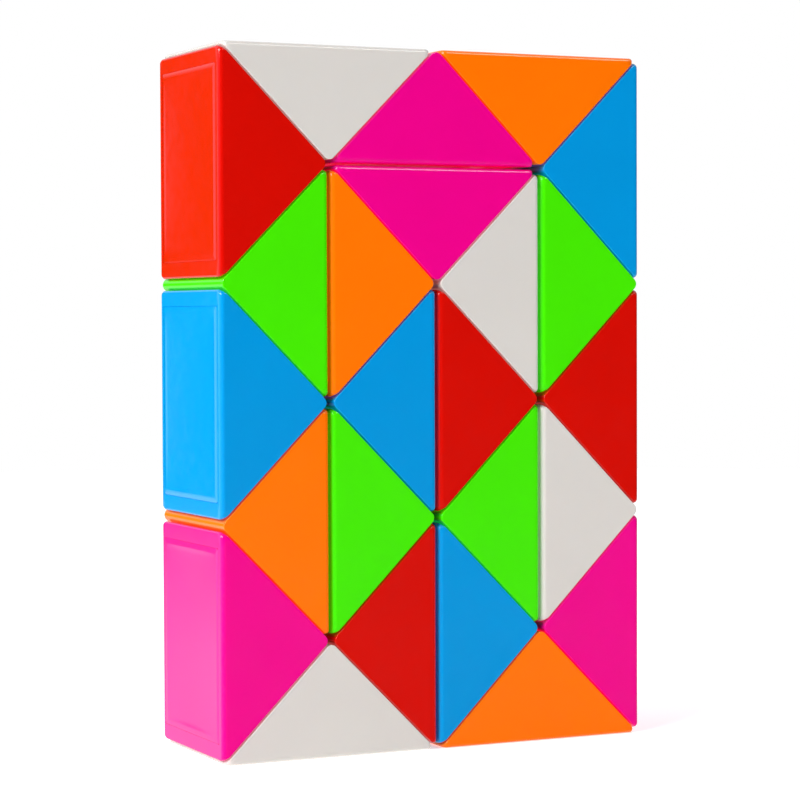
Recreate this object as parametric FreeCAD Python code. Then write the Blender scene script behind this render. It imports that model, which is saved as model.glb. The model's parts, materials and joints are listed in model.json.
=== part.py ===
"""Twisty snake puzzle, folded into a standing block three pitches high and two pitches wide.

Twenty-four right-angled wedges form one chain. Neighbours meet on their square leg faces, and a
spring bolt through the middle of each pair of faces lets one wedge turn on the next. Each wedge
is a hollow shell closed by a snap-in cover on its long face. The bolts sit in the even-numbered
wedges, each with its spring, washer and retaining ring.

Row frame: +X right, +Y back, +Z up, origin at the centre of the block's base. Lengths are in
millimetres.
"""
import FreeCAD, Part
import os
from math import pi, sqrt
from FreeCAD import Matrix, Placement, Vector

# ---- driving dimensions -------------------------------------------------------------------
PITCH = 30.0                 # length of a wedge's long face, corner to corner
LEG = PITCH / sqrt(2)        # length of a leg face, which is also the wedge's thickness
LEG_CLEARANCE = 0.12         # each leg face stands this far behind the plane it shares
LONG_CLEARANCE = 0.12        # the same for the long face
APEX_RADIUS = 1.1            # rounding of the right-angled edge
TIP_RADIUS = 0.3             # rounding of the two sharp tips
EDGE_RADIUS = 0.3            # rounding of the edges round the two triangular faces
WALL = 1.5                   # thickness of the leg walls and of the cover
SIDE_WALL = 1.8              # thickness of the two triangular walls

COVER_TIP_BORDER = 2.5       # shell rim left visible beyond each end of the cover
COVER_SIDE_BORDER = 1.2      # shell rim left visible along each side of the cover
COVER_FIT = 0.05             # gap all round the cover
COVER_BEVEL = 0.25           # bevel on the cover's outer edges
RIB_FIT = 0.15               # gap between the cover's locating rib and the shell
RIB_WALL = 0.8
RIB_HEIGHT = 1.2

BORE_RADIUS = 1.35           # hole for the bolt in each leg wall
PAD_RADIUS = 3.6             # raised bearing pad round the bore
PAD_HEIGHT = 0.07
DETENT_CIRCLE = 7.0          # distance of the four detents from the bolt
BUMP_HEIGHT = 0.18           # detent bumps on even wedges
BUMP_RADIUS = 1.6            # radius of the ball that a bump is cut from
DIMPLE_DEPTH = 0.4           # detent dimples on odd wedges
DIMPLE_RADIUS = 2.0

SHANK_RADIUS = 1.25          # bolt
HEAD_RADIUS = 2.4
HEAD_START = 4.2             # heights along a bolt are measured from the plane between the wedges
HEAD_HEIGHT = 0.8
SOCKET_RADIUS = 0.9          # blind drive socket in the bolt head
SOCKET_DEPTH = 0.4
TAIL_LENGTH = 3.2            # how far the bolt reaches into the neighbouring wedge
GROOVE_RADIUS = 1.05         # groove that holds the retaining ring
WASHER_RADIUS = 2.5
WASHER_HEIGHT = 0.3
RING_OUTER = 2.9             # retaining ring, on the neighbour's side
RING_HEIGHT = 0.5
RING_CLEARANCE = 0.15        # between the ring and the neighbour's wall
RING_SLOT = 1.6              # opening of the ring
SPRING_WIRE = 0.2            # radius of the spring wire
SPRING_RADIUS = 1.75         # mean radius of the coils
SPRING_TURNS = 2.5
SPRING_SEAT = 0.02           # running gap at each end of the spring

# ---- the fold -----------------------------------------------------------------------------
# Seen from the front, the chain turns left or right through each wedge in turn.
FOLD = "LRLRRRLRLLLRLRRRLRLRRLRR"
START = Vector(0.75 * PITCH, 0, 2.25 * PITCH - LONG_CLEARANCE)   # first wedge's outer leg face
START_HEADING = Vector(-1, 0, -1).normalize()

X_AXIS, Y_AXIS, Z_AXIS = Vector(1, 0, 0), Vector(0, 1, 0), Vector(0, 0, 1)
LAST = len(FOLD)
INNER_FACE = LEG_CLEARANCE + WALL                   # inside face of a leg wall
LONG_PLANE = LEG / sqrt(2) - LONG_CLEARANCE         # long face's distance from the apex corner
LONG_NORMAL = Vector(1, 1, 0).normalize()
LONG_ALONG = Vector(1, -1, 0).normalize()
HALF_FACE = LONG_PLANE - LEG_CLEARANCE * sqrt(2)    # half the long face, before rounding


# ---- helpers ------------------------------------------------------------------------------
# Wedge frame: the right-angled edge lies on the Z axis, the chain comes in through the leg face
# at y = 0 and leaves through the leg face at x = 0, and the thickness is centred on z = 0.
def slab(outline, half_height):
    """Prism on an outline of (x, y) points, centred on z = 0."""
    points = [Vector(x, y, -half_height) for x, y in outline]
    face = Part.Face(Part.makePolygon(points + points[:1]))
    return face.extrude(Z_AXIS * (2 * half_height))


def long_face_box(half_length, half_height, outer, depth):
    """Box set square to the long face, from `outer` (distance from the apex) inwards by depth."""
    corners = [LONG_ALONG * s + LONG_NORMAL * t
               for s, t in ((-half_length, outer), (half_length, outer),
                            (half_length, outer - depth), (-half_length, outer - depth))]
    return slab([(c.x, c.y) for c in corners], half_height)


def rod(base, axis, start, length, radius):
    return Part.makeCylinder(radius, length, base + axis * start, axis)


def vertical_edges(shape):
    return [e for e in shape.Edges if abs(e.tangentAt(e.FirstParameter).z) > 0.99]


def leg_faces(number):
    """(centre, inward direction) of each leg face of a wedge that carries a pivot."""
    entry = (Vector(LEG / 2, 0, 0), Y_AXIS)
    leaving = (Vector(0, LEG / 2, 0), X_AXIS)
    return [face for face, used in ((entry, number > 1), (leaving, number < LAST)) if used]


# ---- wedge shell --------------------------------------------------------------------------
def wedge_body():
    """Solid wedge with rounded edges."""
    tip = LONG_PLANE * sqrt(2) - LEG_CLEARANCE
    body = slab([(LEG_CLEARANCE, LEG_CLEARANCE), (tip, LEG_CLEARANCE), (LEG_CLEARANCE, tip)],
                LEG / 2)
    apex = [e for e in vertical_edges(body) if e.CenterOfMass.x + e.CenterOfMass.y < 1]
    body = body.makeFillet(APEX_RADIUS, apex)
    tips = [e for e in vertical_edges(body) if e.CenterOfMass.x + e.CenterOfMass.y > tip]
    body = body.makeFillet(TIP_RADIUS, tips)
    rims = [e for e in body.Edges if abs(abs(e.CenterOfMass.z) - LEG / 2) < 0.01]
    return body.makeFillet(EDGE_RADIUS, rims)


def cavity():
    """Room inside the shell, open on the long face, with a ledge for the cover."""
    inner = LONG_PLANE * sqrt(2) - INNER_FACE
    room = slab([(INNER_FACE, INNER_FACE), (inner, INNER_FACE), (INNER_FACE, inner)],
                LEG / 2 - SIDE_WALL)
    room = room.common(long_face_box(PITCH, LEG, LONG_PLANE - WALL / 2, PITCH))
    recess = long_face_box(HALF_FACE - COVER_TIP_BORDER, LEG / 2 - COVER_SIDE_BORDER,
                           LONG_PLANE + 1, WALL + 1)
    return room.fuse(recess)


def detents(centre, inward, ball_radius, height):
    """Four spherical caps, standing `height` out of a leg face (or into it, if negative)."""
    across = Z_AXIS.cross(inward)
    offset = DETENT_CIRCLE / sqrt(2)
    sink = LEG_CLEARANCE - height + (ball_radius if height > 0 else -ball_radius)
    return [Part.makeSphere(ball_radius, centre + inward * sink + across * a + Z_AXIS * b)
            for a in (-offset, offset) for b in (-offset, offset)]


def shell(number):
    body = wedge_body().cut(cavity())
    even = number % 2 == 0
    for centre, inward in leg_faces(number):
        pad = rod(centre, inward, LEG_CLEARANCE - PAD_HEIGHT, PAD_HEIGHT + WALL / 2, PAD_RADIUS)
        body = body.fuse(pad)
        if even:
            skin = rod(centre, inward, 0, INNER_FACE - WALL / 2, LEG / 2)
            for ball in detents(centre, inward, BUMP_RADIUS, BUMP_HEIGHT):
                body = body.fuse(ball.common(skin))
        else:
            for ball in detents(centre, inward, DIMPLE_RADIUS, -DIMPLE_DEPTH):
                body = body.cut(ball)
        body = body.cut(rod(centre, inward, -1, INNER_FACE + 2, BORE_RADIUS))
    return body


# ---- cover --------------------------------------------------------------------------------
def cover():
    """Snap-in plate on the long face, with a locating rib behind it."""
    half_length = HALF_FACE - COVER_TIP_BORDER - COVER_FIT
    half_height = LEG / 2 - COVER_SIDE_BORDER - COVER_FIT
    plate = long_face_box(half_length, half_height, LONG_PLANE, WALL)
    rim = [e for e in plate.Edges
           if abs(e.CenterOfMass.dot(LONG_NORMAL) - LONG_PLANE) < 0.01]
    plate = plate.makeChamfer(COVER_BEVEL, rim)

    back = LONG_PLANE - WALL
    rib_half_height = LEG / 2 - SIDE_WALL - RIB_FIT
    rib_half_length = back - RIB_HEIGHT - (INNER_FACE + RIB_FIT) * sqrt(2)
    rib = long_face_box(rib_half_length, rib_half_height, back, RIB_HEIGHT)
    rib = rib.cut(long_face_box(rib_half_length - RIB_WALL, rib_half_height - RIB_WALL,
                                back, RIB_HEIGHT))
    return plate.fuse(rib)


# ---- pivot hardware -----------------------------------------------------------------------
def bolt(centre, inward):
    top = HEAD_START + HEAD_HEIGHT
    body = rod(centre, inward, -TAIL_LENGTH, TAIL_LENGTH + HEAD_START, SHANK_RADIUS)
    head = rod(centre, inward, HEAD_START, HEAD_HEIGHT, HEAD_RADIUS)
    head = head.cut(rod(centre, inward, top - SOCKET_DEPTH, SOCKET_DEPTH, SOCKET_RADIUS))
    groove_start = -(INNER_FACE + RING_CLEARANCE + RING_HEIGHT)
    groove = rod(centre, inward, groove_start, RING_HEIGHT, SHANK_RADIUS + 1)
    groove = groove.cut(rod(centre, inward, groove_start, RING_HEIGHT, GROOVE_RADIUS))
    return body.fuse(head).cut(groove)


def washer(centre, inward):
    disc = rod(centre, inward, INNER_FACE, WASHER_HEIGHT, WASHER_RADIUS)
    return disc.cut(rod(centre, inward, INNER_FACE, WASHER_HEIGHT, BORE_RADIUS))


def retaining_ring(centre, inward):
    """Flat ring, open on one side, that snaps into the bolt's groove."""
    start = -(INNER_FACE + RING_CLEARANCE + RING_HEIGHT)
    ring = rod(centre, inward, start, RING_HEIGHT, RING_OUTER)
    ring = ring.cut(rod(centre, inward, start, RING_HEIGHT, GROOVE_RADIUS))
    opening = Part.makeBox(RING_SLOT, RING_OUTER, RING_HEIGHT,
                           Vector(-RING_SLOT / 2, 0, 0))
    opening.Placement = Placement(centre + inward * start,
                                  FreeCAD.Rotation(Z_AXIS, inward)).multiply(opening.Placement)
    return ring.cut(opening)


def spring(centre, inward):
    """Compression spring between the washer and the bolt head."""
    low = INNER_FACE + WASHER_HEIGHT + SPRING_SEAT + SPRING_WIRE
    high = HEAD_START - SPRING_SEAT - SPRING_WIRE
    pitch = (high - low) / SPRING_TURNS
    helix = Part.makeLongHelix(pitch, high - low, SPRING_RADIUS)
    start = Vector(SPRING_RADIUS, 0, 0)
    direction = Vector(0, 2 * pi * SPRING_RADIUS, pitch)
    section = Part.Wire(Part.makeCircle(SPRING_WIRE, start, direction))
    coil = Part.Wire(helix).makePipeShell([section], True, True)
    coil.Placement = Placement(centre + inward * low, FreeCAD.Rotation(Z_AXIS, inward))
    return coil


def pivots(number):
    """Bolt, spring, washer and retaining ring of each pivot that an even wedge holds."""
    pieces = []
    for centre, inward in leg_faces(number):
        pieces += [make(centre, inward) for make in (bolt, washer, retaining_ring, spring)]
    return Part.makeCompound(pieces)


# ---- the chain ----------------------------------------------------------------------------
def chain():
    """Yield each wedge's number and placement in the row frame, following the fold."""
    entry, heading = START, START_HEADING
    for number, turn in enumerate(FOLD, start=1):
        right = heading.cross(Y_AXIS) * -1
        across = right if turn == "L" else right * -1
        facing = across.cross(heading)
        apex = entry - across * (LEG / 2)
        yield number, Placement(Matrix(across.x, heading.x, facing.x, apex.x,
                                       across.y, heading.y, facing.y, apex.y,
                                       across.z, heading.z, facing.z, apex.z,
                                       0, 0, 0, 1))
        entry, heading = apex + heading * (LEG / 2), across * -1


def export(shape, placement, node):
    placed = shape.copy()
    placed.Placement = placement.multiply(placed.Placement)
    placed.exportStep(f"parts/{node}.step")


def main():
    os.makedirs("parts", exist_ok=True)
    shells = {number: shell(number) for number in (1, 2, 3, LAST)}   # end, even, odd, end
    lid = cover()
    hardware = {number: pivots(number) for number in (2, LAST)}
    for number, placement in chain():
        name = f"wedge_{number:02d}"
        kind = number if number in (1, LAST) else 2 + number % 2
        export(shells[kind], placement, name + "_shell")
        export(lid, placement, name + "_cover")
        if number % 2 == 0:
            export(hardware[LAST if number == LAST else 2], placement, name + "_pivots")


main()
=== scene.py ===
"""Looks of the twisty snake puzzle: rounded, glossy moulded wedges round the CAD frame.

Each wedge's shell and cover are meshes made here, in the wedge's own frame, and laid where the
frame's pivots put them. The bolts, springs, washers and rings inside are the CAD's own.
"""

import json
from math import cos, pi, radians, sin, sqrt, tan

import bmesh
import bpy
from mathutils import Matrix, Vector

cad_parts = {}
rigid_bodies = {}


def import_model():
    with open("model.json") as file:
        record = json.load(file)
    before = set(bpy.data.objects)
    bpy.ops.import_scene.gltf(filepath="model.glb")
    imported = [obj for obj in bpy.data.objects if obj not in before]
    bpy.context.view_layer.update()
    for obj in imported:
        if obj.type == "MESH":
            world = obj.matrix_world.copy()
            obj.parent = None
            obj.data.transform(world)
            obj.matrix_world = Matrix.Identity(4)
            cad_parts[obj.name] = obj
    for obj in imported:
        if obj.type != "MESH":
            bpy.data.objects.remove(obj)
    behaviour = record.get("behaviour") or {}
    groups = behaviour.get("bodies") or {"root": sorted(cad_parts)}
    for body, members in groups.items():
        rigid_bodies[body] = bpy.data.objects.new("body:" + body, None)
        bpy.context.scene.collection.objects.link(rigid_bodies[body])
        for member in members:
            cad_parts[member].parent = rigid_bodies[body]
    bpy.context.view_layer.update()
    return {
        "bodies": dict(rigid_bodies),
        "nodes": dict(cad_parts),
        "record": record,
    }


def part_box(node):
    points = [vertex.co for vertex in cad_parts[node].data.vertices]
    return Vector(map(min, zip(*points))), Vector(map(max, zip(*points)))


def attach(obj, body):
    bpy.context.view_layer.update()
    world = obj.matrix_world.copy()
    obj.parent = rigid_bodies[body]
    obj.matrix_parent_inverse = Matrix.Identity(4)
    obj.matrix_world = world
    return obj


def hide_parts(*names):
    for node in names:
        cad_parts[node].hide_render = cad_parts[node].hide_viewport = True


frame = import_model()

MM = 0.001
Y_AXIS = Vector((0, 1, 0))
JOINTS = {j["name"]: j for j in frame["record"]["behaviour"]["joints"]}
LAST = len(frame["bodies"])


def pivot_point(number):
    return Vector(JOINTS[f"pivot_{number:02d}"]["pos_m"]) / MM


# ---- sizes, in millimetres ----------------------------------------------------------------
PITCH = 2 * (pivot_point(2) - pivot_point(1)).length     # long face, corner to corner
LEG = PITCH / sqrt(2)                                    # leg face, and the thickness
LEG_CLEARANCE = 0.12         # half of the gap between two leg faces
LONG_CLEARANCE = 0.12        # half of the gap between two long faces
WALL, SIDE_WALL = 1.5, 1.8
BAND_START = 12.2            # end of the cover, from the middle of the long face
SIDE_BORDER = 1.2            # flat rim along each side of the cover
COVER_FIT = 0.03
COVER_PROUD = 0.06           # the cover's edge stands this far out of the rim round it
COVER_ROUND, COVER_LEAN = 4.4, 10     # rounding of that edge: radius, and arc in degrees
COVER_SINK = 0.12            # the cover's middle is drawn in this much, as moulded plates are
COVER_CORNER = 0.35
DISH_INSETS = (1.0, 1.4, 1.9, 2.2, 3.4, 4.8, 6.2, 7.6, 8.8)      # rings of the drawn-in middle
RIB_HEIGHT, RIB_WALL, RIB_FIT = 1.2, 0.8, 0.15
APEX_ROUND = 0.85
TIP_ROUND, TIP_SPREAD = 0.29, 0.12    # rounding of a tip, and what its ends have more than that
TIP_BLEND = 0.9              # the tip's rounding grows over this height, from the cover's edge
TIP_LAND = 0.05              # flat that is left between a tip's rounding and the cover's band
LONG_EDGE = 0.65             # rounding between the long face and the triangular faces
LEG_EDGE = 0.12              # rounding between the leg faces and the triangular faces
BORE_RADIUS = 1.35
BORE_CHAMFER = 0.12
PAD_RADIUS, PAD_HEIGHT, PAD_CHAMFER = 3.6, 0.07, 0.05
DETENT_CIRCLE = 7.0
BUMP_HEIGHT, BUMP_RADIUS = 0.18, 1.6
DIMPLE_DEPTH, DIMPLE_RADIUS = 0.4, 2.0
BUMP_END, DIMPLE_END = 100, 75        # degrees from the ball's axis at which its arc ends
OVERSHOOT = 0.5              # how far a cutter stands out of the surface that it cuts

ARC_STEPS = 8                # segments of a rounded corner of the shell
CORNER_STEPS = 6             # of a corner of the cover
SIDE_STEPS = (18, 12)        # of the cover's long and short sides
RIDGE_STEPS = 5              # across the cover's ridge
DETENT_STEPS = 14            # of a bump's or a dimple's profile
TURN_SEGMENTS, DETENT_SEGMENTS = 64, 32       # round a pad or a bore, and round a detent

HALF_THICK = LEG / 2
LONG_PLANE = PITCH / 2 - LONG_CLEARANCE                  # long face's distance from the apex
RIM_PLANE = LONG_PLANE - COVER_PROUD
INNER_FACE = LEG_CLEARANCE + WALL
MOUTH = HALF_THICK - SIDE_BORDER


# ---- mesh helpers -------------------------------------------------------------------------
# Wedge frame: the right-angled edge lies on the Z axis, the chain comes in through the leg face
# at y = 0 and leaves through the leg face at x = 0, and the thickness is centred on z = 0.
def at(s, t):
    """Point s along the long face from its middle and t out from the apex, in the wedge frame."""
    return Vector(((t + s) / sqrt(2), (t - s) / sqrt(2)))


def rounded(corners, steps):
    """Outline through (point, radius) corners, taken anticlockwise, with round corners."""
    points = []
    count = len(corners)
    for i, (corner, radius) in enumerate(corners):
        before = (corners[i - 1][0] - corner).normalized()
        after = (corners[(i + 1) % count][0] - corner).normalized()
        if radius == 0:
            points.append(corner.copy())
            continue
        half = before.angle(after) / 2
        centre = corner + (before + after).normalized() * (radius / sin(half))
        start = corner + before * (radius / tan(half)) - centre
        turn = pi - 2 * half
        for k in range(steps + 1):
            a = turn * k / steps
            points.append(centre + Vector((start.x * cos(a) - start.y * sin(a),
                                           start.x * sin(a) + start.y * cos(a))))
    return points


def add_ring(mesh, points):
    return [mesh.verts.new(p) for p in points]


def join_rings(mesh, low, high):
    count = len(low)
    return [mesh.faces.new((low[i], low[(i + 1) % count], high[(i + 1) % count], high[i]))
            for i in range(count)]


def finish_mesh(mesh, name):
    """Mesh datablock in metres, with consistent outward normals."""
    bmesh.ops.recalc_face_normals(mesh, faces=mesh.faces)
    bmesh.ops.scale(mesh, vec=(MM, MM, MM), verts=mesh.verts)
    data = bpy.data.meshes.new(name)
    mesh.to_mesh(data)
    mesh.free()
    return data


def new_object(name, data):
    piece = bpy.data.objects.new(name, data)
    bpy.context.scene.collection.objects.link(piece)
    return piece


def baked(piece):
    """The piece's mesh with its modifiers applied; the piece is then removed."""
    graph = bpy.context.evaluated_depsgraph_get()
    data = bpy.data.meshes.new_from_object(piece.evaluated_get(graph))
    bpy.data.objects.remove(piece)
    return data


# ---- wedge shell --------------------------------------------------------------------------
def drawn_in(radius, height):
    """How far an edge with this rounding stands in, at a height from the middle of the wedge."""
    above = max(0.0, abs(height) - (HALF_THICK - radius))
    return radius - sqrt(max(0.0, radius * radius - above * above))


def shell_section(height):
    """Section of the shell's outer surface, anticlockwise from the apex."""
    leg = LEG_CLEARANCE + drawn_in(LEG_EDGE, height)
    front = RIM_PLANE - drawn_in(LONG_EDGE, height)
    tip = front - leg * sqrt(2)
    way = min(1.0, max(0.0, (abs(height) - MOUTH) / TIP_BLEND))
    tip_round = TIP_ROUND + TIP_SPREAD * way * way * (3 - 2 * way)
    band = min(BAND_START, tip - tip_round / tan(pi / 8) - TIP_LAND)
    corners = [(Vector((leg, leg)), APEX_ROUND - drawn_in(LEG_EDGE, height)),
               (at(tip, front), tip_round),
               (at(band, front), 0),
               (at(-band, front), 0),
               (at(-tip, front), tip_round)]
    return [(*p, height) for p in rounded(corners, ARC_STEPS)]


def rim_heights():
    """Heights of the sections from the cover's recess to the triangular face."""
    heights = {MOUTH + (HALF_THICK - MOUTH) * k / ARC_STEPS for k in range(ARC_STEPS)}
    for radius in (LEG_EDGE, LONG_EDGE):
        for k in range(ARC_STEPS + 1):
            heights.add(HALF_THICK - radius * (1 - sin(pi / 2 * k / ARC_STEPS)))
    return sorted(heights)


def shell_blank():
    """Hollow wedge with rounded edges and the recess for its cover, before the pivot details."""
    mesh = bmesh.new()
    ends = []
    for side in (-1, 1):
        rings = [add_ring(mesh, shell_section(side * height)) for height in rim_heights()]
        for low, high in zip(rings, rings[1:]):
            join_rings(mesh, low, high)
        mesh.faces.new(rings[-1])
        ends.append(rings[0])
    # the strip between the two inner corners of the long face is the cover's opening
    opening = join_rings(mesh, *ends)[2 * (ARC_STEPS + 1)]
    mouth = list(opening.verts)
    bmesh.ops.delete(mesh, geom=[opening], context="FACES_ONLY")

    def loop(half_length, half_height, t):
        """Ring of four corners on the long face, in the order of the mouth's own corners."""
        points = []
        for v in mouth:
            s = half_length if v.co.x > v.co.y else -half_length
            z = half_height if v.co.z > 0 else -half_height
            points.append((*at(s, t), z))
        return add_ring(mesh, points)

    back = LONG_PLANE - WALL
    recess = loop(BAND_START, MOUTH, back)
    room = loop(back - INNER_FACE * sqrt(2), HALF_THICK - SIDE_WALL, back)
    join_rings(mesh, mouth, recess)
    join_rings(mesh, recess, room)
    inner = {z: mesh.verts.new((INNER_FACE, INNER_FACE, z))
             for z in (SIDE_WALL - HALF_THICK, HALF_THICK - SIDE_WALL)}
    pairs = {(v.co.x > v.co.y, v.co.z > 0): v for v in room}
    low, high = inner.values()
    for right in (True, False):
        mesh.faces.new((pairs[right, False], pairs[right, True], high, low))
    for up, apex in ((False, low), (True, high)):
        mesh.faces.new((pairs[True, up], pairs[False, up], apex))
    return finish_mesh(mesh, "shell_blank")


def tool(name, build):
    """Hidden object whose mesh a Boolean modifier uses; build fills the bmesh, in millimetres."""
    mesh = bmesh.new()
    build(mesh)
    return new_object(name, finish_mesh(mesh, name))


def leg_frame(entry):
    """Matrix with its origin in the middle of a leg face and Z pointing into the wedge."""
    if entry:
        return Matrix(((-1, 0, 0, LEG / 2), (0, 0, 1, 0), (0, 1, 0, 0), (0, 0, 0, 1)))
    return Matrix(((0, 0, 1, 0), (1, 0, 0, LEG / 2), (0, 1, 0, 0), (0, 0, 0, 1)))


def turned(mesh, profile, matrix, segments=TURN_SEGMENTS):
    """Closed solid turned from (radius, height) points that start and end on the axis."""
    rings = []
    for radius, height in profile:
        if radius == 0:
            rings.append([mesh.verts.new(matrix @ Vector((0, 0, height)))] * segments)
        else:
            rings.append([mesh.verts.new(matrix @ Vector((
                radius * cos(2 * pi * k / segments), radius * sin(2 * pi * k / segments),
                height))) for k in range(segments)])
    for low, high in zip(rings, rings[1:]):
        for k in range(segments):
            corners = [low[k], low[(k + 1) % segments], high[(k + 1) % segments], high[k]]
            unique = list(dict.fromkeys(corners))
            mesh.faces.new(unique)


def arc_profile(centre, radius, start, end, steps):
    """Half-profile of a ball cap: (radius, height) points between two angles from the axis."""
    points = []
    for k in range(steps + 1):
        a = start + (end - start) * k / steps
        points.append((radius * sin(a), centre + radius * cos(a)))
    return points


def detent_centres():
    offset = DETENT_CIRCLE / sqrt(2)
    return [Vector((x, y, 0)) for x in (-offset, offset) for y in (-offset, offset)]


def add_raised(mesh, even, faces):
    """Bearing pads, and the bumps of an even wedge."""
    root = LEG_CLEARANCE + WALL / 2
    for entry in faces:
        place = leg_frame(entry)
        top = LEG_CLEARANCE - PAD_HEIGHT
        turned(mesh, [(0, top), (PAD_RADIUS - PAD_CHAMFER, top),
                      (PAD_RADIUS, top + PAD_CHAMFER), (PAD_RADIUS, root), (0, root)], place)
        if even:
            for centre in detent_centres():
                turned(mesh, bump_profile(root), place @ Matrix.Translation(centre),
                       DETENT_SEGMENTS)


def bump_profile(root):
    """Profile of a bump: a ball's cap, carried on to a flat end inside the wall."""
    ball = LEG_CLEARANCE - BUMP_HEIGHT + BUMP_RADIUS
    cap = arc_profile(ball, BUMP_RADIUS, pi, radians(BUMP_END), DETENT_STEPS)
    kept = [(r, h) for r, h in cap if h < root]
    kept[0] = (0, kept[0][1])
    return kept + [(kept[-1][0], root), (0, root)]


def add_holes(mesh, even, faces):
    """Bores, and the dimples of an odd wedge."""
    for entry in faces:
        place = leg_frame(entry)
        mouth = LEG_CLEARANCE - PAD_HEIGHT
        wide = BORE_RADIUS + BORE_CHAMFER
        end = INNER_FACE + 2 * OVERSHOOT
        turned(mesh, [(0, mouth - OVERSHOOT), (wide, mouth - OVERSHOOT), (wide, mouth),
                      (BORE_RADIUS, mouth + BORE_CHAMFER), (BORE_RADIUS, end), (0, end)], place)
        if not even:
            ball = LEG_CLEARANCE + DIMPLE_DEPTH - DIMPLE_RADIUS
            cap = arc_profile(ball, DIMPLE_RADIUS, 0, radians(DIMPLE_END), DETENT_STEPS)
            cap.append((0, cap[-1][1]))
            for centre in detent_centres():
                turned(mesh, cap, place @ Matrix.Translation(centre), DETENT_SEGMENTS)


def shell_mesh(blank, number):
    """A shell's final mesh: the blank with the details of the pivots that it carries."""
    even = number % 2 == 0
    faces = [entry for entry in (True, False)
             if (number > 1 if entry else number < LAST)]
    piece = new_object("shell", blank.copy())
    raised = tool("raised", lambda mesh: add_raised(mesh, even, faces))
    holes = tool("holes", lambda mesh: add_holes(mesh, even, faces))
    for operand, operation in ((raised, "UNION"), (holes, "DIFFERENCE")):
        modifier = piece.modifiers.new(operation, "BOOLEAN")
        modifier.operation = operation
        modifier.object = operand
        modifier.solver = "EXACT"
        modifier.use_self = True
    data = baked(piece)
    for operand in (raised, holes):
        bpy.data.objects.remove(operand)
    return data


# ---- cover --------------------------------------------------------------------------------
def plate_ring(mesh, half_length, half_height, depth):
    """Ring of a rounded rectangle on the long face; depth(s, z) is its distance from the apex."""
    corners = [(Vector((s * half_length, z * half_height)), COVER_CORNER)
               for s, z in ((-1, -1), (1, -1), (1, 1), (-1, 1))]
    outline = rounded(corners, CORNER_STEPS)
    points = []
    for i, point in enumerate(outline):
        points.append(point)
        side, along = divmod(i, CORNER_STEPS + 1)
        if along == CORNER_STEPS:
            step = outline[(i + 1) % len(outline)] - point
            count = SIDE_STEPS[side % 2]
            points += [point + step * (k / count) for k in range(1, count)]
    return add_ring(mesh, [(*at(p.x, depth(p.x, p.y)), p.y) for p in points])


def cover_mesh():
    """Plate that fills the long face: a rounded ridge round a shallow dish, and a rib behind."""
    length = BAND_START - COVER_FIT
    height = MOUTH - COVER_FIT
    back = LONG_PLANE - WALL
    mesh = bmesh.new()

    def flat(inset, t):
        return plate_ring(mesh, length - inset, height - inset, lambda s, z: t)

    def dish(s, z):
        return LONG_PLANE - COVER_SINK * (1 - (s / length) ** 4) * (1 - (z / height) ** 2)

    rings = [flat(0, back)]
    for k in range(RIDGE_STEPS + 1):
        a = radians(COVER_LEAN) * (1 - k / RIDGE_STEPS)
        ridge = COVER_ROUND * (sin(radians(COVER_LEAN)) - sin(a))
        rings.append(flat(ridge, LONG_PLANE - COVER_ROUND * (1 - cos(a))))
    for inset in DISH_INSETS:
        rings.append(plate_ring(mesh, length - inset, height - inset, dish))
    for low, high in zip(rings, rings[1:]):
        join_rings(mesh, low, high)
    mesh.faces.new(rings[-1])

    rib_end = back - RIB_HEIGHT
    rib_length = rib_end - (INNER_FACE + RIB_FIT) * sqrt(2)
    rib_height = HALF_THICK - SIDE_WALL - RIB_FIT
    rib = [rings[0]]
    for inset, t in ((0, back), (0, rib_end), (RIB_WALL, rib_end), (RIB_WALL, back)):
        rib.append(plate_ring(mesh, rib_length - inset, rib_height - inset, lambda s, z: t))
    for low, high in zip(rib, rib[1:]):
        join_rings(mesh, low, high)
    mesh.faces.new(rib[-1])
    return finish_mesh(mesh, "cover")


# ---- placing the wedges -------------------------------------------------------------------
SHARP_ANGLE = 40             # degrees from which an edge between two faces is drawn sharp
FACE_WEIGHT = 80             # pull of large faces on the shading of the roundings beside them


def wedge_matrix(number):
    """Wedge frame to row frame, from the pivots and the CAD shell's box."""
    low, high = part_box(f"wedge_{number:02d}_shell")
    middle = (Vector(low) + Vector(high)) / 2 / MM
    pivot = min(number, LAST - 1)
    centre = pivot_point(pivot)
    heading = Vector(JOINTS[f"pivot_{pivot:02d}"]["axis"])
    if JOINTS[f"pivot_{pivot:02d}"]["child"] == f"wedge_{pivot:02d}":
        heading = -heading
    side = heading.cross(Y_AXIS)
    if side.dot(middle - centre) > 0:
        side = -side
    if number < LAST:            # the pivot is on the leaving face
        x, y = -heading, side
        apex = centre - y * (LEG / 2)
    else:                        # the pivot is on the entry face
        x, y = side, heading
        apex = centre - x * (LEG / 2)
    z = x.cross(y)
    return Matrix.Translation(apex * MM) @ Matrix((x, y, z)).transposed().to_4x4()


# ---- materials ----------------------------------------------------------------------------
PAINTED_CREVICE_GLOW = 0.5           # strength of the painted light in closed joints: an emission glow that stands in for light carried through the plastic
CREVICE_REACH = 0.7 * MM     # how near a facing surface has to be to close a gap
CREVICE_OPEN = 0.5           # share of open surroundings at which the glow is gone
CREVICE_SAMPLES = 6

# slot: colour, and the shade that the pigment clouds towards (linear RGB)
PLASTICS = {
    "red_plastic": ((0.62, 0.0035, 0.001), (0.55, 0.003, 0.001)),
    "white_plastic": ((0.64, 0.612, 0.582), (0.60, 0.573, 0.545)),
    "magenta_plastic": ((0.82, 0.001, 0.248), (0.74, 0.001, 0.22)),
    "orange_plastic": ((0.98, 0.173, 0.001), (0.90, 0.155, 0.001)),
    "blue_plastic": ((0.001, 0.285, 0.67), (0.001, 0.255, 0.61)),
    "green_plastic": ((0.058, 0.77, 0.001), (0.05, 0.70, 0.001)),
}


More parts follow.
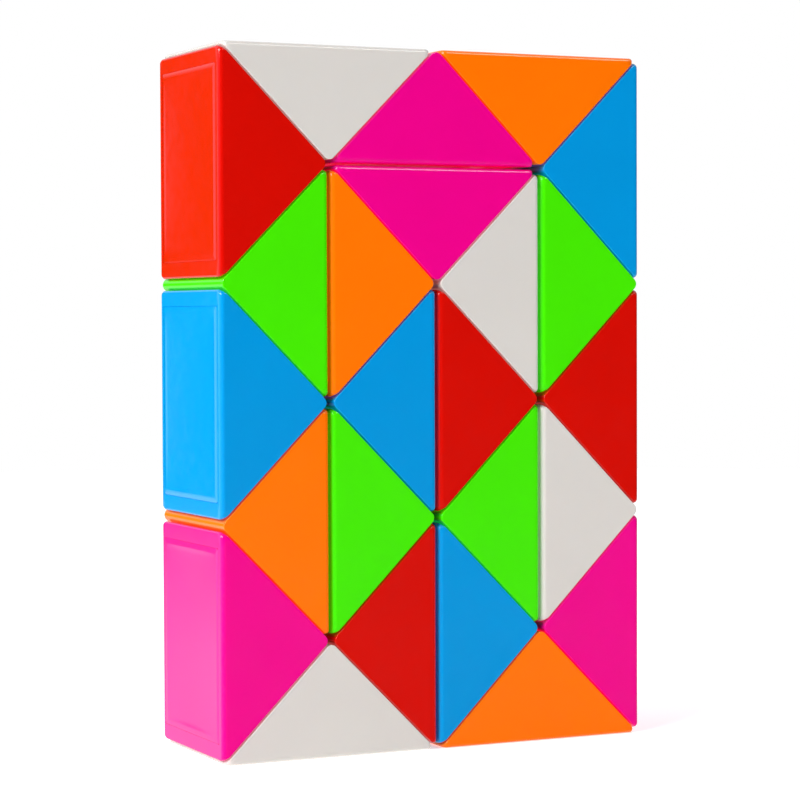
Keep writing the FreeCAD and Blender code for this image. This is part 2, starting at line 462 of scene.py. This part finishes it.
class Nodes:
    """Small helper round a material's node tree."""

    def __init__(self, name):
        self.material = bpy.data.materials.new(name)
        self.material.use_nodes = True
        self.tree = self.material.node_tree
        self.surface = self.tree.nodes["Principled BSDF"]

    def add(self, kind, **values):
        node = self.tree.nodes.new("ShaderNode" + kind)
        for key, value in values.items():
            if key in node.inputs:
                node.inputs[key].default_value = value
            else:
                setattr(node, key, value)
        return node

    def link(self, source, target):
        self.tree.links.new(source, target)

    def noise(self, scale, detail, roughness=0.5):
        place = self.tree.nodes.get("Place") or self.add("TexCoord", name="Place")
        node = self.add("TexNoise", Scale=scale, Detail=detail, Roughness=roughness)
        self.link(place.outputs["Object"], node.inputs["Vector"])
        return node.outputs["Fac"]

    def ramp(self, source, start, end, low, high):
        """Value that goes from low to high while the source goes from start to end."""
        node = self.add("MapRange", **{"From Min": start, "From Max": end,
                                       "To Min": low, "To Max": high})
        self.link(source, node.inputs["Value"])
        return node.outputs["Result"]

    def spread(self, noise, low, high):
        """The noise's middle range, where nearly all of it lies, spread from low to high."""
        return self.ramp(noise, 0.3, 0.7, low, high)


def paint_glow_in_joints(nodes, pigment):
    """Painted light: a faint emission glow in narrow gaps, in the pigment's own colour multiplied
    by itself.
    """
    crevice = nodes.add("AmbientOcclusion", samples=CREVICE_SAMPLES, Distance=CREVICE_REACH)
    glow = nodes.ramp(crevice.outputs["AO"], 0.0, CREVICE_OPEN, PAINTED_CREVICE_GLOW, 0.0)
    nodes.link(glow, nodes.surface.inputs["Emission Strength"])
    deeper = nodes.add("Mix", data_type="RGBA", blend_type="MULTIPLY")
    deeper.inputs["Factor"].default_value = 1.0
    nodes.link(pigment, deeper.inputs["A"])
    nodes.link(pigment, deeper.inputs["B"])
    nodes.link(deeper.outputs["Result"], nodes.surface.inputs["Emission Color"])


def plastic(name, colour, shade):
    """Glossy moulded plastic: faint clouding of the pigment, fine surface ripple, light scuffs,
    and a painted glow of light in narrow gaps.
    """
    nodes = Nodes(name)
    surface = nodes.surface
    cloud = nodes.noise(90, 3)
    mix = nodes.add("Mix", data_type="RGBA")
    mix.inputs["A"].default_value = (*colour, 1)
    mix.inputs["B"].default_value = (*shade, 1)
    nodes.link(nodes.spread(cloud, 0.0, 0.35), mix.inputs["Factor"])
    nodes.link(mix.outputs["Result"], surface.inputs["Base Color"])
    # painted light: emission glow in the narrow gaps between parts
    paint_glow_in_joints(nodes, mix.outputs["Result"])
    scuff = nodes.noise(700, 4, 0.65)
    nodes.link(nodes.spread(scuff, 0.08, 0.15), surface.inputs["Roughness"])
    surface.inputs["IOR"].default_value = 1.5
    surface.inputs["Subsurface Weight"].default_value = 0.1
    surface.inputs["Subsurface Radius"].default_value = (1.0, 0.6, 0.4)
    surface.inputs["Subsurface Scale"].default_value = 1.8 * MM
    ripple = nodes.add("Bump", Strength=0.06, Distance=0.04 * MM)
    nodes.link(nodes.noise(1600, 2), ripple.inputs["Height"])
    wave = nodes.add("Bump", Strength=0.10, Distance=0.2 * MM)
    nodes.link(nodes.noise(160, 1), wave.inputs["Height"])
    nodes.link(ripple.outputs["Normal"], wave.inputs["Normal"])
    nodes.link(wave.outputs["Normal"], surface.inputs["Normal"])
    nodes.material.cycles.emission_sampling = "NONE"
    return nodes.material


def steel(name):
    """Plated spring steel with fine brushing."""
    nodes = Nodes(name)
    surface = nodes.surface
    surface.inputs["Base Color"].default_value = (0.56, 0.56, 0.58, 1)
    surface.inputs["Metallic"].default_value = 1.0
    nodes.link(nodes.spread(nodes.noise(2500, 3), 0.22, 0.4), surface.inputs["Roughness"])
    bump = nodes.add("Bump", Strength=0.15, Distance=0.03 * MM)
    nodes.link(nodes.noise(4000, 2), bump.inputs["Height"])
    nodes.link(bump.outputs["Normal"], surface.inputs["Normal"])
    return nodes.material


def build_wedges():
    finishes = {slot: plastic(slot, *colours) for slot, colours in PLASTICS.items()}
    hardware = steel("spring_steel")
    slots = {p["node"]: p["material_slot"] for p in frame["record"]["subparts"]}
    blank = shell_blank()
    # the two ends of the chain have one pivot each, the others two, with bumps or with dimples
    shells = {number: shell_mesh(blank, number) for number in (1, 2, 3, LAST)}
    lid = cover_mesh()
    for number in range(1, LAST + 1):
        body = f"wedge_{number:02d}"
        place = wedge_matrix(number)
        kind = number if number in (1, LAST) else 2 + number % 2
        for part, data in (("shell", shells[kind]), ("cover", lid)):
            node = f"{body}_{part}"
            data = data.copy()
            data.transform(place)
            piece = new_object(f"{body}_moulded_{part}", data)
            slot = slots[node]
            data.materials.clear()
            data.materials.append(finishes[slot])
            data.shade_smooth()
            data.set_sharp_from_angle(angle=radians(SHARP_ANGLE))
            weighted = piece.modifiers.new("weighted", "WEIGHTED_NORMAL")
            weighted.keep_sharp = True
            weighted.weight = FACE_WEIGHT
            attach(piece, body)
            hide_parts(node)
        if number % 2 == 0:
            pivots = frame["nodes"][f"{body}_pivots"]
            for material_slot in pivots.material_slots:
                material_slot.material = hardware


# ---- studio, in metres --------------------------------------------------------------------
WORLD_COLOUR = (0.8, 0.8, 0.8)
WORLD_LOW, WORLD_HIGH = 1.0, 0.9       # strength behind the block, below and above eye level
WORLD_FLOOR_EDGE = (-0.14, -0.06)      # where the one passes into the other: Z of the direction
WORLD_FRONT = 0.02                     # share of that strength in front of the block
WORLD_FRONT_EDGE = (-0.6, 0.6)         # where front passes into back: Y of the direction
PATCH_SIDE = (-0.44, -0.38)            # edges of the dim patch: X, then Z, of the direction
PATCH_BOTTOM, PATCH_TOP = (-0.13, -0.07), (0.20, 0.12)
PATCH_TINT = 0.17                      # green of the patch's left end
PATCH_TINT_EDGE = (-0.25, -0.10)       # where that green fades out: X of the direction
FLOOR_RADIUS, FLOOR_GLOW = 0.6, 0.5

# softboxes: where they stand, their sides, and their power in watts
SOFTBOXES = {
    "key_softbox": ((-0.81, -0.225, 0.54), (0.6, 0.6), 11.8),
    "top_softbox": ((0.30, -0.40, 0.66), (0.45, 0.16), 1.85),
}
SOFTBOX_TARGET = (0, 0, 0.045)

# The camera stands to the left of the block's front and looks very slightly down.
CAMERA_AZIMUTH = -25.5       # degrees from the front, towards the left side
CAMERA_DISTANCE = 0.3399     # from the block's upright axis
CAMERA_HEIGHT = 0.0559
CAMERA_TILT, CAMERA_ROLL = -1.89, 0.22        # degrees
CAMERA_ASIDE = 0.04          # degrees that it looks to the left of the block's axis
CAMERA_LENS = 116.15         # millimetres, on a sensor 36 mm wide


def area_light(name, place, size, power):
    data = bpy.data.lights.new(name, "AREA")
    data.shape = "RECTANGLE"
    data.size, data.size_y = size
    data.energy = power
    lamp = new_object(name, data)
    lamp.location = place
    lamp.rotation_mode = "QUATERNION"
    aim = Vector(SOFTBOX_TARGET) - Vector(place)
    lamp.rotation_quaternion = aim.to_track_quat("-Z", "Y")


def build_floor():
    """Pale matt floor, with enough glow of its own to join the white behind it."""
    floor_mesh = bmesh.new()
    bmesh.ops.create_circle(floor_mesh, cap_ends=True, segments=96, radius=FLOOR_RADIUS)
    data = bpy.data.meshes.new("floor")
    floor_mesh.to_mesh(data)
    floor_mesh.free()
    floor = new_object("floor", data)
    nodes = Nodes("floor")
    for key, value in (("Base Color", (0.92, 0.92, 0.92, 1)), ("Roughness", 0.9),
                       ("Specular IOR Level", 0.0), ("Emission Color", (1, 1, 1, 1)),
                       ("Emission Strength", FLOOR_GLOW)):
        nodes.surface.inputs[key].default_value = value
    nodes.material.cycles.emission_sampling = "NONE"
    data.materials.append(nodes.material)
    floor.visible_glossy = False


def build_world():
    """White all round to the eye. As a light it is dim in front of the block and bright behind
    it, brightest low down, but for a dim patch at eye level straight behind the block. The left
    end of the patch is faintly green: the left side of the block reflects it."""
    world = bpy.data.worlds.new("studio")
    bpy.context.scene.world = world
    world.use_nodes = True
    tree = world.node_tree
    seen = tree.nodes["Background"]
    seen.inputs["Color"].default_value = (1, 1, 1, 1)
    lit = tree.nodes.new("ShaderNodeBackground")
    place = tree.nodes.new("ShaderNodeTexCoord")
    split = tree.nodes.new("ShaderNodeSeparateXYZ")
    tree.links.new(place.outputs["Generated"], split.inputs["Vector"])

    def ramp(axis, start, end, low, high):
        node = tree.nodes.new("ShaderNodeMapRange")
        for name, value in (("From Min", start), ("From Max", end),
                            ("To Min", low), ("To Max", high)):
            node.inputs[name].default_value = value
        tree.links.new(split.outputs[axis], node.inputs["Value"])
        return node.outputs["Result"]

    def combine(operation, first, second):
        node = tree.nodes.new("ShaderNodeMath")
        node.operation = operation
        tree.links.new(first, node.inputs[0])
        tree.links.new(second, node.inputs[1])
        return node.outputs["Value"]

    patch = ramp("X", *PATCH_SIDE, 1, 0)
    for edge in (PATCH_BOTTOM, PATCH_TOP):
        patch = combine("MAXIMUM", patch, ramp("Z", *edge, 1, 0))
    tint = tree.nodes.new("ShaderNodeCombineColor")
    for channel in ("Red", "Blue"):
        tint.inputs[channel].default_value = 0
    tree.links.new(ramp("X", *PATCH_TINT_EDGE, PATCH_TINT, 0), tint.inputs["Green"])
    shade = tree.nodes.new("ShaderNodeMix")
    shade.data_type = "RGBA"
    shade.inputs["B"].default_value = (*WORLD_COLOUR, 1)
    tree.links.new(patch, shade.inputs["Factor"])
    tree.links.new(tint.outputs["Color"], shade.inputs["A"])
    tree.links.new(shade.outputs["Result"], lit.inputs["Color"])
    strength = combine("MULTIPLY", ramp("Z", *WORLD_FLOOR_EDGE, WORLD_LOW, WORLD_HIGH),
                       ramp("Y", *WORLD_FRONT_EDGE, WORLD_FRONT, 1))
    tree.links.new(strength, lit.inputs["Strength"])
    path = tree.nodes.new("ShaderNodeLightPath")
    mix = tree.nodes.new("ShaderNodeMixShader")
    tree.links.new(path.outputs["Is Camera Ray"], mix.inputs["Fac"])
    tree.links.new(lit.outputs["Background"], mix.inputs[1])
    tree.links.new(seen.outputs["Background"], mix.inputs[2])
    tree.links.new(mix.outputs["Shader"], tree.nodes["World Output"].inputs["Surface"])


def build_camera():
    data = bpy.data.cameras.new("camera")
    data.sensor_width = 36
    data.lens = CAMERA_LENS
    camera = new_object("camera", data)
    azimuth = radians(CAMERA_AZIMUTH)
    camera.location = (sin(azimuth) * CAMERA_DISTANCE, -cos(azimuth) * CAMERA_DISTANCE,
                       CAMERA_HEIGHT)
    camera.rotation_euler = (pi / 2 + radians(CAMERA_TILT), radians(CAMERA_ROLL),
                             azimuth + radians(CAMERA_ASIDE))
    bpy.context.scene.camera = camera


build_wedges()
build_floor()
build_world()
for lamp_name, lamp_values in SOFTBOXES.items():
    area_light(lamp_name, *lamp_values)
build_camera()
bpy.context.scene.view_settings.view_transform = "Standard"
